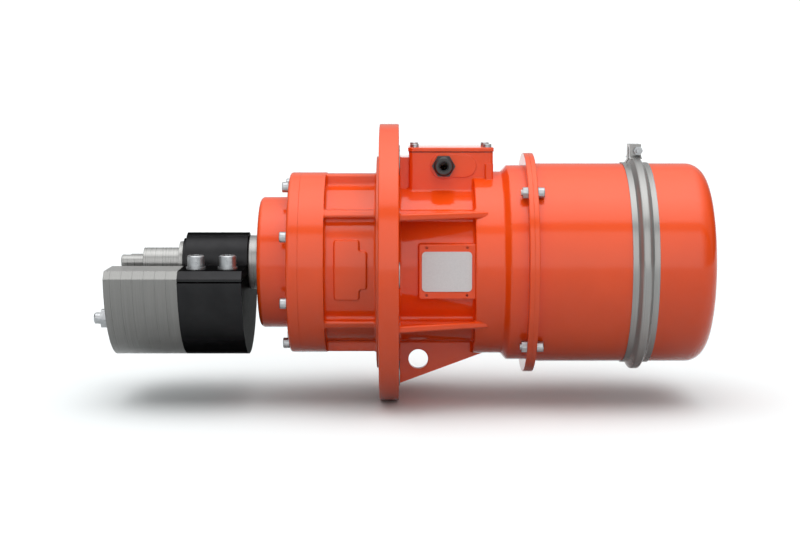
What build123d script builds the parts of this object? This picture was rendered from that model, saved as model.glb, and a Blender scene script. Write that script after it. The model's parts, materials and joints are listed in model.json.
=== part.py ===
from build123d import *
import os
from math import cos, hypot, radians, sin, sqrt

os.makedirs("parts", exist_ok=True)

# Flange-mounted vibration motor. Millimetres, X along the shaft, Z up, the viewer at -Y.
# The origin is the centre of the mounting face, the left face of the big middle flange.

# Running fits and seats shared by many pieces
shaft_fit = 0.05
axial_gap = 0.3
seal_gap = 0.3
thread_gap = 0.1
washer_margin = 1.5
hole_allowance = 2.0
step_fillet_share = 0.4
seam_tolerance = 0.1

# Mounting flange
flange_radius = 175.0
flange_thickness = 24.5
flange_edge_fillet = 1.5
register_radius = 134.0
register_height = 3.4
flange_hole_radius = 9.0
flange_hole_circle = 300.0
flange_hole_count = 6
spot_face_radius = 15.5
spot_face_height = 1.2

# Ribbed neck, left of the mounting flange
neck_length = 67.0
body_radius = 100.0
body_bore_radius = 86.0
neck_rib_inset = 1.0
neck_rib_height = 67.5
neck_rib_thickness = 9.0
neck_block_width = 38.0
neck_rib_fillet = 2.5
root_fillet = 4.0
pad_root_fillet = 1.5
rim_radius = 114.0
rim_length = 31.0
rim_fillet = 4.0

# Bare raised badge pad on the neck
badge_rise = 4.2
badge_left = -54.2
badge_width = 30.1
badge_tongue = 9.2
badge_height = 73.0
badge_tongue_height = 46.0
badge_corner = 3.5

# Right-hand body
barrel_length = 92.5
collar_radius = 115.0
collar_length = 35.3
bell_inset = 2.3
bell_length = 28.0
bell_chamfer = 7.0
joint_flange_width = 13.2
joint_flange_thickness = 6.05
gusset_height = 67.0
gusset_thickness = 8.0
gusset_reach = 155.0
gusset_edge_fillet = 2.5
gusset_overlap = 15.0
lug_thickness = 11.0
lug_depth = 155.0
lug_hole_radius = 12.5
lug_hole_x = 49.0
lug_hole_z = -123.7
collar_edge_fillet = 2.0
lug_hole_chamfer = 1.0
register_edge_fillet = 0.5
joint_edge_fillet = 1.0

# Nameplate and its pad
pad_x = 48.4
pad_width = 67.9
pad_bottom = -33.8
pad_height = 66.3
pad_rise = 6.7
pad_corner = 2.5
pad_edge_fillet = 1.0
plate_width = 60.4
plate_height = 48.4
plate_centre_z = -0.6
plate_corner = 5.0
plate_thickness = 0.8
pad_hole_radius = 1.5
pad_hole_depth = 6.0
pad_hole_spread_x = 48.9
pad_hole_spread_z = 57.9

# Terminal box
box_left = 36.8
box_length = 104.2
box_half_width = 38.0
box_depth = 34.4
box_wall = 6.0
box_floor_rise = 6.0
box_corner = 5.0
box_web_half_width = 30.0
box_web_drop = 6.4
gasket_thickness = 1.0
lid_thickness = 5.0
lid_overhang = 1.0
lid_edge_fillet = 1.5
lid_screw_inset = 7.0
lid_boss_radius = 7.0
lid_screw_radius = 3.0
lid_screw_head_radius = 5.2
lid_screw_head_height = 4.2
lid_screw_length = 20.0
lid_screw_socket = 5.0
earth_boss_width = 10.5
earth_boss_height = 20.0
earth_boss_reach = 4.5
wire_hole_radius = 8.0
wire_hole_x = 122.0
earth_boss_corner = 3.0
earth_screw_radius = 3.0
earth_screw_length = 8.0
earth_head_radius = 4.8
earth_head_height = 4.8
earth_screw_socket = 4.8
earth_screw_inset = 16.0

# Cable gland
gland_x = 79.5
gland_drop = 16.6
gland_pad_radius = 16.3
gland_pill_radius = 14.0
gland_pill_length = 26.5
gland_pad_height = 2.0
gland_thread_radius = 10.0
gland_across_flats = 25.0
gland_hex_height = 5.0
gland_nut_height = 13.0
gland_nut_hex_height = 8.45
gland_nut_shoulder = 0.5
gland_nut_taper = 25.0
gland_seal_recess = 2.0
gland_thread_length = 12.0
gland_seal_radius = 6.5
cable_radius = 5.0

# Terminal board in the box
board_length = 54.0
board_width = 28.0
board_height = 10.0
board_corner = 3.0
board_x = 86.0
terminal_spacing_x = 18.0
terminal_spacing_y = 14.0
terminal_radius = 2.5
terminal_height = 12.0
terminal_nut_across_flats = 8.0
terminal_nut_height = 4.0

# Shaft, rotor and stator; both bearing ends mirror about the rotor's middle plane
rotor_middle = 20.6
core_length = 130.0
core_bore_radius = 55.0
rotor_air_gap = 0.5
rotor_shaft_radius = 38.0
bearing_seat_radius = 32.5
weight_seat_radius = 25.0
stub_radius = 18.5
stub_length = 50.6
pilot_stub_radius = 9.5
pilot_stub_length = 29.0
shaft_end_chamfer = 1.0
winding_overhang = 30.0
winding_gap = 4.0
winding_inner_radius = 60.0
winding_fillet = 8.0
cage_ring_radius = 50.0
cage_ring_length = 10.0
cage_ring_fillet = 2.0

# Bearings and their flanges
bearing_outer_radius = 70.0
bearing_width = 48.0
bearing_ring_thickness = 9.5
roller_count = 12
roller_length = 30.0
shield_thickness = 14.3
boss_radius = 82.7
boss_length = 37.7
boss_fillet = 6.0
boss_root_fillet = 2.0
boss_end_wall = 8.0
spigot_length = 10.0
seal_radius = 45.0
sleeve_radius = 34.0
sleeve_reach = 14.8
sleeve_edge_fillet = 2.0
inner_seat_step = 5.0

# Socket-head screws of the bearing flanges and the cover
screw_radius = 4.0
screw_head_radius = 6.5
screw_head_height = 8.0
screw_socket_width = 6.0
screw_socket_share = 0.5
screw_chamfer_share = 0.12
shield_screw_count = 8
shield_screw_angle = 22.5
shield_screw_inset = 8.6
shield_screw_length = 26.0
inner_screw_inset = 12.0
cover_screw_count = 4
cover_screw_angle = 45.0
cover_screw_clearance = 7.4
cover_screw_tail = 2.0
nut_across_flats = 13.0
nut_height = 6.5
nut_corner_share = 0.965

# Eccentric weights
weight_radius = 116.0
weight_hub_radius = 37.8
weight_length = 77.5
weight_collar_radius = 30.4
weight_collar_length = 4.4
clamp_lip = 12.0
clamp_slit = 2.0
clamp_screw_radius = 7.0
clamp_screw_head_radius = 10.5
clamp_screw_head_height = 14.0
clamp_screw_length = 50.0
clamp_screw_socket = 12.0
clamp_screw_tail_room = 4.0
clamp_washer_thickness = 3.0
clamp_screw_inset = 32.5
clamp_screw_spacing = 38.6
grub_radius = 6.0
grub_length = 9.0
plate_ring_radius = 47.0
plate_count = 6
plate_step = 13.5
plate_gap = 0.12
end_plate_thickness = 8.0
stud_radius = 7.0
stud_inset = 28.0
stud_angle = 46.0
stud_embed = 42.0
stud_tip = 9.0
stud_end_chamfer = 1.5
stud_nut_across_flats = 22.0
stud_nut_height = 11.4
stop_ring_radius = 26.4
stop_ring_thickness = 5.0

# Weight cover, end cap and band clamp
cover_clearance = 6.3
cover_wall = 3.0
cover_length = 133.6
cover_opening_inset = 10.0
cap_gap = 0.5
cap_length = 88.3
cap_edge_radius = 24.0
cap_lip_height = 5.5
cap_lip_thickness = 3.0
cap_lip_fillet = 1.0
cap_seal_width = 3.5
band_sheet = 1.0
band_width = 32.5
band_bead_width = 18.0
band_bead_crown = 9.0
band_bead_height = 8.0
band_bead_fillet = 3.0
band_foot_fillet = 1.5
band_inner_fillet = 0.5
band_bend = 0.6
band_split = 8.0
ear_width = 14.0
ear_depth = 24.0
ear_height = 23.0
ear_thickness = 10.0
ear_bolt_height = 15.0
ear_bolt_offset = 3.0
ear_bolt_radius = 3.0
ear_bolt_margin = 9.0
ear_bolt_head_height = 4.0
ear_root_drop = 3.0
ear_tail_drop = 2.4
ear_shoulder = 1.0
ear_nut_across_flats = 10.0
ear_nut_height = 5.0

# Places along the shaft that follow from the sizes above
neck_rib_radius = rim_radius - neck_rib_inset
badge_radius = body_radius + badge_rise
pad_reach = body_radius + pad_rise
box_floor = body_radius + box_floor_rise
box_top = box_floor + box_depth
box_web_top = box_top - box_web_drop
gland_z = box_top - gland_drop
cover_radius = weight_radius + cover_clearance + cover_wall
bell_radius = cover_radius - bell_inset
joint_flange_radius = cover_radius + joint_flange_width
cover_opening_radius = collar_radius - cover_opening_inset
shield_screw_circle = 2 * (rim_radius - shield_screw_inset)
inner_screw_circle = 2 * (cover_opening_radius - inner_screw_inset)
cover_screw_circle = 2 * (cover_radius + cover_screw_clearance)
winding_outer_radius = body_bore_radius - winding_gap
clamp_screw_reach = weight_radius - clamp_screw_inset
stud_circle_radius = weight_radius - stud_inset
rim_right = -neck_length
shield_seat_left = rim_right - rim_length
shield_face_left = shield_seat_left - shield_thickness
boss_end_left = shield_face_left - boss_length
bearing_left = boss_end_left + boss_end_wall
collar_left = flange_thickness + barrel_length
bell_left = collar_left + collar_length
joint_face = bell_left + bell_length + joint_flange_thickness
boss_end_right = 2 * rotor_middle - boss_end_left
bearing_right = 2 * rotor_middle - bearing_left
sleeve_end = boss_end_left - sleeve_reach
weight_right = sleeve_end - axial_gap
weight_left = weight_right - weight_length
stop_ring_right = weight_left - weight_collar_length - axial_gap
plates_left = weight_left - plate_count * plate_step - end_plate_thickness
shield_seat_right = bearing_right - bearing_width - inner_seat_step
cover_end = joint_face + cover_length
cap_left = cover_end + cap_gap
cap_right = cap_left + cap_length
box_right = box_left + box_length
mirror_plane = Plane.YZ.offset(rotor_middle)


def facing_left(x):
    """Plane across the shaft at x whose normal points to -X and whose second axis is +Z."""
    return Plane(origin=(x, 0, 0), x_dir=(0, -1, 0), z_dir=(-1, 0, 0))


def facing_right(x):
    """Plane across the shaft at x whose normal points to +X."""
    return Plane.YZ.offset(x)


def on_circle(radius, count, start):
    """Equally spaced places on a circle, the first at the start angle in degrees."""
    angles = [radians(start + 360 / count * i) for i in range(count)]
    return [(radius * cos(angle), radius * sin(angle)) for angle in angles]


def step_fillet(wanted, low, high):
    """Fillet radius at a step between two radii, limited by the height of the step."""
    return min(wanted, step_fillet_share * (high - low))


def turned(corners):
    """Face in the XZ plane from (x, radius, corner fillet) values, ready to be revolved."""
    points = [(x, radius) for x, radius, _ in corners]
    fillets = [fillet_radius for _, _, fillet_radius in corners]
    with BuildSketch(Plane.XZ) as outline:
        with BuildLine():
            FilletPolyline(*points, radius=fillets, close=True)
        make_face()
    return outline.sketch


def ring(left, right, inner, outer):
    """Plain ring about the shaft axis between two x values."""
    with BuildPart() as body:
        revolve(turned([(left, inner, 0), (left, outer, 0), (right, outer, 0), (right, inner, 0)]), Axis.X)
    return body.part


def socket_screws(seat, places, shank, length, head, head_height, socket):
    """Socket-head screws at places on the seat plane, heads along its normal."""
    with BuildPart() as screws:
        with BuildSketch(seat):
            with Locations(*places):
                Circle(head)
        extrude(amount=head_height)
        chamfer(screws.edges().group_by(Axis(seat.origin, seat.z_dir))[-1], head * screw_chamfer_share)
        with BuildSketch(seat.offset(head_height)):
            with Locations(*places):
                RegularPolygon(socket / 2, 6, major_radius=False)
        extrude(amount=-head_height * screw_socket_share, mode=Mode.SUBTRACT)
        with BuildSketch(seat):
            with Locations(*places):
                Circle(shank)
        extrude(amount=-length)
    return screws.part


def hex_nuts(seat, places, across_flats, height, bore):
    """Chamfered hexagon nuts at places on the seat plane, standing along its normal."""
    with BuildPart() as nuts:
        with BuildSketch(seat):
            with Locations(*places):
                RegularPolygon(across_flats / 2, 6, major_radius=False)
        extrude(amount=height)
        with BuildSketch(seat):
            with Locations(*places):
                Circle(across_flats / sqrt(3) * nut_corner_share)
        extrude(amount=height, mode=Mode.INTERSECT)
        with BuildSketch(seat):
            with Locations(*places):
                Circle(bore)
        extrude(amount=height, mode=Mode.SUBTRACT)
    return nuts.part


def distances(edge):
    """Least and greatest distance of an edge from the shaft axis."""
    reach = [hypot(point.Y, point.Z) for point in edge.positions([0, 0.5, 1])]
    return min(reach), max(reach)


def seams_along(part, radius, left, right):
    """Straight seams, along the shaft, of what stands on the barrel of the given radius."""
    return part.edges().filter_by(GeomType.LINE).filter_by(
        lambda e: left < e.center().X < right
        and e.length > (right - left) / 2
        and max(abs(reach - radius) for reach in distances(e)) < seam_tolerance
    )


def seams_across(part, x, low, high):
    """Seams in the plane across the shaft at x that lie between two radii."""
    return part.edges().filter_by(
        lambda e: abs(e.bounding_box().min.X - x) < seam_tolerance
        and abs(e.bounding_box().max.X - x) < seam_tolerance
        and low - seam_tolerance < distances(e)[0]
        and distances(e)[1] < high
    )


def pad_edges(part, radius, left, right, half_height):
    """Edges that lie on a cylinder of the given radius about the shaft, within a pad on the near side."""
    return part.edges().filter_by(
        lambda e: left - seam_tolerance < e.bounding_box().min.X
        and e.bounding_box().max.X < right + seam_tolerance
        and abs(e.center().Z) < half_height
        and e.center().Y < 0
        and max(abs(reach - radius) for reach in distances(e)) < seam_tolerance
    )


def mirrored(piece):
    """The same piece at the other end of the shaft."""
    with BuildPart() as copy:
        mirror(piece, about=mirror_plane)
    return copy.part


def write_piece(piece, name):
    """Label a finished piece and write it to its own file."""
    piece.label = name
    export_step(piece, f"parts/{name}.step")


# Ribs of the neck: shelves above and below the axis and a block on top and underneath
with BuildPart() as neck_ribs:
    with BuildSketch(facing_right(rim_right)) as neck_section:
        with Locations((0, neck_rib_height), (0, -neck_rib_height)):
            Rectangle(2 * rim_radius, neck_rib_thickness)
        Rectangle(neck_block_width, 2 * rim_radius)
        Circle(neck_rib_radius, mode=Mode.INTERSECT)
        fillet(neck_section.vertices(), neck_rib_fillet)
    extrude(amount=neck_length)

# Raised badge pad, curved with the neck
with BuildPart() as badge_pad:
    with BuildSketch(Plane.XZ) as badge_outline:
        with Locations((badge_left, 0)):
            Rectangle(badge_width, badge_height, align=(Align.MIN, Align.CENTER))
            Rectangle(badge_width + badge_tongue, badge_tongue_height, align=(Align.MIN, Align.CENTER))
        fillet(badge_outline.vertices(), badge_corner)
    extrude(amount=badge_radius)
    with BuildSketch(facing_right(rim_right)):
        Circle(badge_radius)
    extrude(amount=neck_length, mode=Mode.INTERSECT)

# Gusset plates between the flange and the collar, two on each side
gusset_root_y = sqrt(gusset_reach**2 - gusset_height**2)
gusset_tip_y = sqrt(collar_radius**2 - gusset_height**2)
gusset_tip_x = collar_left + gusset_overlap
with BuildPart() as gussets:
    with BuildSketch(Plane.XY.offset(gusset_height - gusset_thickness / 2)):
        with BuildLine():
            Polyline(
                (flange_thickness, 0),
                (flange_thickness, -gusset_root_y),
                (gusset_tip_x, -gusset_tip_y),
                (gusset_tip_x, 0),
                close=True,
            )
        make_face()
    extrude(amount=gusset_thickness)
    sloping = gussets.edges().filter_by(lambda e: e.center().Y < -gusset_tip_y and e.length > barrel_length)
    fillet(sloping, gusset_edge_fillet)
    mirror(about=Plane.XY)
    mirror(about=Plane.XZ)

# Lug plate under the body
with BuildPart() as lug:
    with BuildSketch(Plane.XZ.offset(-lug_thickness / 2)):
        with BuildLine():
            Polyline(
                (flange_thickness, 0),
                (flange_thickness, -lug_depth),
                (gusset_tip_x, -collar_radius),
                (gusset_tip_x, 0),
                close=True,
            )
        make_face()
        with Locations((lug_hole_x, lug_hole_z)):
            Circle(lug_hole_radius, mode=Mode.SUBTRACT)
    extrude(amount=lug_thickness)
    chamfer(lug.edges().filter_by(GeomType.CIRCLE), lug_hole_chamfer)

# Nameplate pad
with BuildPart() as nameplate_pad:
    with BuildSketch(Plane.XZ.offset(pad_reach)) as pad_outline:
        with Locations((pad_x, pad_bottom)):
            Rectangle(collar_left + hole_allowance - pad_x, pad_height, align=(Align.MIN, Align.MIN))
        fillet(pad_outline.vertices().group_by(Axis.X)[0], pad_corner)
    extrude(amount=-(pad_reach - body_bore_radius - hole_allowance))
    fillet(nameplate_pad.edges().group_by(Axis.Y)[0], pad_edge_fillet)

# Terminal box body with the web to the flange, the gland pad and the earth boss
box_middle_x = box_left + box_length / 2
box_face = -box_half_width
earth_screw_place = (box_left + earth_screw_inset, box_half_width - 2 * box_wall - earth_screw_inset / 2)
lid_screw_places = [
    (box_middle_x + side_x * (box_length / 2 - lid_screw_inset), side_y * (box_half_width - lid_screw_inset))
    for side_x in (-1, 1)
    for side_y in (-1, 1)
]
with BuildPart() as box_shell:
    with BuildSketch(Plane.XY) as box_outline:
        with Locations((box_middle_x, 0)):
            RectangleRounded(box_length, 2 * box_half_width, box_corner)
    extrude(amount=box_top)
    with BuildSketch(Plane.XY):
        with Locations((flange_thickness, 0)):
            Rectangle(box_left, 2 * box_web_half_width, align=(Align.MIN, Align.CENTER))
    extrude(amount=box_web_top)
    with BuildSketch(Plane.XZ.offset(-box_face)) as gland_pad:
        with Locations((gland_x, gland_z)):
            Circle(gland_pad_radius)
        with Locations((gland_x + gland_pill_length / 2, gland_z)):
            SlotCenterToCenter(gland_pill_length, 2 * gland_pill_radius)
    extrude(amount=gland_pad_height)
    with BuildSketch(Plane.XY.offset(box_floor)) as earth_boss:
        with Locations((box_right - earth_boss_width / 2, box_face)):
            RectangleRounded(earth_boss_width, 2 * earth_boss_reach, earth_boss_corner)
    extrude(amount=earth_boss_height)

neck_root = step_fillet(root_fillet, body_radius, rim_radius)
body_root = step_fillet(root_fillet, body_radius, collar_radius)

# Main casting: neck, mounting flange, body, collar and bell in one turned form with its ribs
with BuildPart() as motor_casing:
    revolve(
        turned(
            [
                (shield_seat_left, 0, 0),
                (shield_seat_left, rim_radius, 0),
                (rim_right, rim_radius, 0),
                (rim_right, body_radius, 0),
                (-register_height, body_radius, 0),
                (-register_height, register_radius, register_edge_fillet),
                (0, register_radius, 0),
                (0, flange_radius, flange_edge_fillet),
                (flange_thickness, flange_radius, flange_edge_fillet),
                (flange_thickness, body_radius, 0),
                (collar_left, body_radius, 0),
                (collar_left, collar_radius, 0),
                (bell_left, collar_radius, rim_fillet),
                (bell_left + bell_chamfer, bell_radius, rim_fillet),
                (joint_face - joint_flange_thickness, bell_radius, 0),
                (joint_face - joint_flange_thickness, joint_flange_radius, joint_edge_fillet),
                (joint_face, joint_flange_radius, 0),
                (joint_face, 0, 0),
            ]
        ),
        Axis.X,
    )
    add(neck_ribs.part)
    add(gussets.part)
    add(lug.part)
    add(box_shell.part)
    # Cast roots: first along the barrel, then across it at each wall, so that they meet in the corners
    fillet(seams_along(motor_casing, body_radius, rim_right, -register_height), neck_root)
    fillet(seams_along(motor_casing, body_radius, flange_thickness, collar_left), body_root)
    fillet(seams_across(motor_casing, rim_right, body_radius, neck_rib_radius), neck_root)
    fillet(seams_across(motor_casing, -register_height, body_radius, neck_rib_radius), neck_root)
    fillet(
        seams_across(motor_casing, flange_thickness, body_radius, (gusset_reach + flange_radius) / 2),
        body_root,
    )
    fillet(
        seams_across(motor_casing, collar_left, body_radius, collar_radius + seam_tolerance).filter_by(
            lambda e: distances(e)[0] < collar_radius - seam_tolerance
        ),
        body_root,
    )
    fillet(
        seams_across(motor_casing, collar_left, collar_radius, collar_radius + seam_tolerance).filter_by(
            lambda e: e.length > 4 * collar_edge_fillet
        ),
        step_fillet(collar_edge_fillet, body_radius, collar_radius),
    )
    # Raised pads with their own smaller roots
    add(badge_pad.part)
    badge_right = badge_left + badge_width + badge_tongue
    for radius in (body_radius, badge_radius):
        fillet(pad_edges(motor_casing, radius, badge_left, badge_right, badge_height), pad_root_fillet)
    add(nameplate_pad.part)
    fillet(
        pad_edges(motor_casing, body_radius, pad_x, collar_left - root_fillet, pad_height),
        pad_root_fillet,
    )
    # Spot faces stand round the bolt holes
    with BuildSketch(facing_right(flange_thickness)):
        with PolarLocations(flange_hole_circle / 2, flange_hole_count):
            Circle(spot_face_radius)
    extrude(amount=spot_face_height)
    with BuildSketch(facing_right(0)):
        with PolarLocations(flange_hole_circle / 2, flange_hole_count):
            Circle(flange_hole_radius)
    extrude(amount=flange_thickness + spot_face_height, mode=Mode.SUBTRACT)
    # Stator bore and the wider seat of the right bearing flange
    with BuildSketch(facing_right(shield_seat_left)):
        Circle(body_bore_radius)
    extrude(amount=shield_seat_right - shield_seat_left, mode=Mode.SUBTRACT)
    with BuildSketch(facing_right(shield_seat_right)):
        Circle(cover_opening_radius)
    extrude(amount=joint_face - shield_seat_right, mode=Mode.SUBTRACT)
    # Screw holes of the left and right bearing flanges and of the cover
    with BuildSketch(facing_left(shield_seat_left)):
        with Locations(*on_circle(shield_screw_circle / 2, shield_screw_count, shield_screw_angle)):
            Circle(screw_radius)
    extrude(amount=-(shield_screw_length - shield_thickness + hole_allowance), mode=Mode.SUBTRACT)
    with BuildSketch(facing_right(shield_seat_right)):
        with Locations(*on_circle(inner_screw_circle / 2, shield_screw_count, shield_screw_angle)):
            Circle(screw_radius)
    extrude(amount=-(shield_screw_length - shield_thickness + hole_allowance), mode=Mode.SUBTRACT)
    with BuildSketch(facing_right(joint_face)):
        with Locations(*on_circle(cover_screw_circle / 2, cover_screw_count, cover_screw_angle)):
            Circle(screw_radius + thread_gap)
    extrude(amount=-joint_flange_thickness, mode=Mode.SUBTRACT)
    # Terminal box pocket with its lid-screw bosses left standing, wire hole and gland hole
    with BuildSketch(Plane.XY.offset(box_floor)):
        with Locations((box_middle_x, 0)):
            Rectangle(box_length - 2 * box_wall, 2 * (box_half_width - box_wall))
        with Locations(*lid_screw_places):
            Circle(lid_boss_radius, mode=Mode.SUBTRACT)
    extrude(amount=box_top - box_floor, mode=Mode.SUBTRACT)
    with BuildSketch(Plane.XY.offset(box_top)):
        with Locations(*lid_screw_places):
            Circle(lid_screw_radius + thread_gap)
    extrude(amount=-lid_screw_length, mode=Mode.SUBTRACT)
    with BuildSketch(Plane.XY.offset(box_floor)):
        with Locations((wire_hole_x, 0)):
            Circle(wire_hole_radius)
    extrude(amount=-(box_floor - body_bore_radius + hole_allowance), mode=Mode.SUBTRACT)
    with BuildSketch(Plane.XY.offset(box_floor)):
        with Locations(earth_screw_place):
            Circle(earth_screw_radius)
    extrude(amount=-earth_screw_length - hole_allowance, mode=Mode.SUBTRACT)
    with BuildSketch(Plane.XZ.offset(gland_pad_height - box_face)):
        with Locations((gland_x, gland_z)):
            Circle(gland_thread_radius)
    extrude(amount=-(gland_pad_height + box_wall + hole_allowance), mode=Mode.SUBTRACT)
    # Small holes at the corners of the nameplate pad
    with BuildSketch(Plane.XZ.offset(pad_reach)):
        with Locations((pad_x + pad_width / 2, plate_centre_z)):
            with GridLocations(pad_hole_spread_x, pad_hole_spread_z, 2, 2):
                Circle(pad_hole_radius)
    extrude(amount=-pad_hole_depth, mode=Mode.SUBTRACT)
write_piece(motor_casing.part, "motor_casing")

# Left bearing flange: disc, boss with the bearing seat and the spigot into the casing
with BuildPart() as left_bearing_flange:
    revolve(
        turned(
            [
                (boss_end_left, seal_radius, 0),
                (boss_end_left, boss_radius, boss_fillet),
                (shield_face_left, boss_radius, boss_root_fillet),
                (shield_face_left, rim_radius, root_fillet),
                (shield_seat_left, rim_radius, 0),
                (shield_seat_left, body_bore_radius, 0),
                (shield_seat_left + spigot_length, body_bore_radius, 0),
                (shield_seat_left + spigot_length, bearing_outer_radius, 0),
                (bearing_left, bearing_outer_radius, 0),
                (bearing_left, seal_radius, 0),
            ]
        ),
        Axis.X,
    )
    with BuildSketch(facing_left(shield_face_left)):
        with Locations(*on_circle(shield_screw_circle / 2, shield_screw_count, shield_screw_angle)):
            Circle(screw_radius + thread_gap)
    extrude(amount=-shield_thickness, mode=Mode.SUBTRACT)
write_piece(left_bearing_flange.part, "left_bearing_flange")

# Right bearing flange: the same boss on a disc that sits inside the casing
with BuildPart() as right_bearing_flange:
    revolve(
        turned(
            [
                (boss_end_right, seal_radius, 0),
                (boss_end_right, boss_radius, boss_fillet),
                (shield_seat_right + shield_thickness, boss_radius, boss_root_fillet),
                (shield_seat_right + shield_thickness, cover_opening_radius, 0),
                (shield_seat_right, cover_opening_radius, 0),
                (shield_seat_right, bearing_outer_radius, 0),
                (bearing_right, bearing_outer_radius, 0),
                (bearing_right, seal_radius, 0),
            ]
        ),
        Axis.X,
    )
    with BuildSketch(facing_right(shield_seat_right)):
        with Locations(*on_circle(inner_screw_circle / 2, shield_screw_count, shield_screw_angle)):
            Circle(screw_radius + thread_gap)
    extrude(amount=shield_thickness, mode=Mode.SUBTRACT)
write_piece(right_bearing_flange.part, "right_bearing_flange")

left_flange_screws = socket_screws(
    facing_left(shield_face_left),
    on_circle(shield_screw_circle / 2, shield_screw_count, shield_screw_angle),
    screw_radius - thread_gap,
    shield_screw_length,
    screw_head_radius,
    screw_head_height,
    screw_socket_width,
)
write_piece(left_flange_screws, "left_flange_screws")

right_flange_screws = socket_screws(
    facing_right(shield_seat_right + shield_thickness),
    on_circle(inner_screw_circle / 2, shield_screw_count, shield_screw_angle),
    screw_radius - thread_gap,
    shield_screw_length,
    screw_head_radius,
    screw_head_height,
    screw_socket_width,
)
write_piece(right_flange_screws, "right_flange_screws")

# Stator: laminated core and the two rings of end turns
core_left = rotor_middle - core_length / 2
core_right = rotor_middle + core_length / 2
stator_core = ring(core_left, core_right, core_bore_radius, body_bore_radius)
write_piece(stator_core, "stator_core")

with BuildPart() as stator_windings:
    revolve(
        turned(
            [
                (core_left - winding_overhang, winding_inner_radius, winding_fillet),
                (core_left - winding_overhang, winding_outer_radius, winding_fillet),
                (core_left, winding_outer_radius, 0),
                (core_left, winding_inner_radius, 0),
            ]
        ),
        Axis.X,
    )
    mirror(about=mirror_plane)
write_piece(stator_windings.part, "stator_windings")

# Shaft with its steps, the same at both ends
step_places = [
    (bearing_left + bearing_width, rotor_shaft_radius),
    (bearing_left + bearing_width, bearing_seat_radius),
    (bearing_left, bearing_seat_radius),
    (bearing_left, weight_seat_radius),
    (stop_ring_right, weight_seat_radius),
    (stop_ring_right, stub_radius),
    (stop_ring_right - stub_length, stub_radius),
    (stop_ring_right - stub_length, pilot_stub_radius),
    (stop_ring_right - stub_length - pilot_stub_length, pilot_stub_radius),
]
with BuildPart() as rotor_shaft:
    with BuildSketch(Plane.XZ):
        with BuildLine():
            Polyline(
                (rotor_middle, 0),
                (rotor_middle, rotor_shaft_radius),
                *step_places,
                (stop_ring_right - stub_length - pilot_stub_length, 0),
                close=True,
            )
        make_face()
    revolve(axis=Axis.X)
    chamfer(rotor_shaft.edges().group_by(Axis.X)[0], shaft_end_chamfer)
    mirror(about=mirror_plane)
write_piece(rotor_shaft.part, "rotor_shaft")

rotor_core = ring(core_left, core_right, rotor_shaft_radius, core_bore_radius - rotor_air_gap)
write_piece(rotor_core, "rotor_core")

with BuildPart() as rotor_cage_rings:
    revolve(
        turned(
            [
                (core_left - cage_ring_length, rotor_shaft_radius, 0),
                (core_left - cage_ring_length, cage_ring_radius, cage_ring_fillet),
                (core_left, cage_ring_radius, 0),
                (core_left, rotor_shaft_radius, 0),
            ]
        ),
        Axis.X,
    )
    mirror(about=mirror_plane)
write_piece(rotor_cage_rings.part, "rotor_cage_rings")

# Cylindrical roller bearings, one at each end
inner_ring_radius = bearing_seat_radius + bearing_ring_thickness
outer_ring_bore = bearing_outer_radius - bearing_ring_thickness
roller_circle = (inner_ring_radius + outer_ring_bore) / 2
roller_radius = (outer_ring_bore - inner_ring_radius) / 2 - shaft_fit
bearing_middle = bearing_left + bearing_width / 2

bearing_right_side = bearing_left + bearing_width
left_bearing_outer_ring = ring(bearing_left, bearing_right_side, outer_ring_bore, bearing_outer_radius)
write_piece(left_bearing_outer_ring, "left_bearing_outer_ring")
write_piece(mirrored(left_bearing_outer_ring), "right_bearing_outer_ring")

left_bearing_inner_ring = ring(bearing_left, bearing_right_side, bearing_seat_radius, inner_ring_radius)
write_piece(left_bearing_inner_ring, "left_bearing_inner_ring")
write_piece(mirrored(left_bearing_inner_ring), "right_bearing_inner_ring")

with BuildPart() as left_bearing_rollers:
    with BuildSketch(facing_right(bearing_middle - roller_length / 2)):
        with PolarLocations(roller_circle, roller_count):
            Circle(roller_radius)
    extrude(amount=roller_length)
write_piece(left_bearing_rollers.part, "left_bearing_rollers")
write_piece(mirrored(left_bearing_rollers.part), "right_bearing_rollers")

# Shaft seals in the bosses and the spacer sleeves that run in them
left_shaft_seal = ring(boss_end_left, bearing_left, sleeve_radius + seal_gap, seal_radius)
write_piece(left_shaft_seal, "left_shaft_seal")
write_piece(mirrored(left_shaft_seal), "right_shaft_seal")

with BuildPart() as left_spacer_sleeve:
    revolve(
        turned(
            [
                (sleeve_end, weight_seat_radius, 0),
                (sleeve_end, sleeve_radius, sleeve_edge_fillet),
                (bearing_left, sleeve_radius, 0),
                (bearing_left, weight_seat_radius, 0),
            ]
        ),
        Axis.X,
    )
write_piece(left_spacer_sleeve.part, "left_spacer_sleeve")
write_piece(mirrored(left_spacer_sleeve.part), "right_spacer_sleeve")

left_stop_ring = ring(stop_ring_right - stop_ring_thickness, stop_ring_right, stub_radius, stop_ring_radius)
write_piece(left_stop_ring, "left_stop_ring")
write_piece(mirrored(left_stop_ring), "right_stop_ring")

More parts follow.
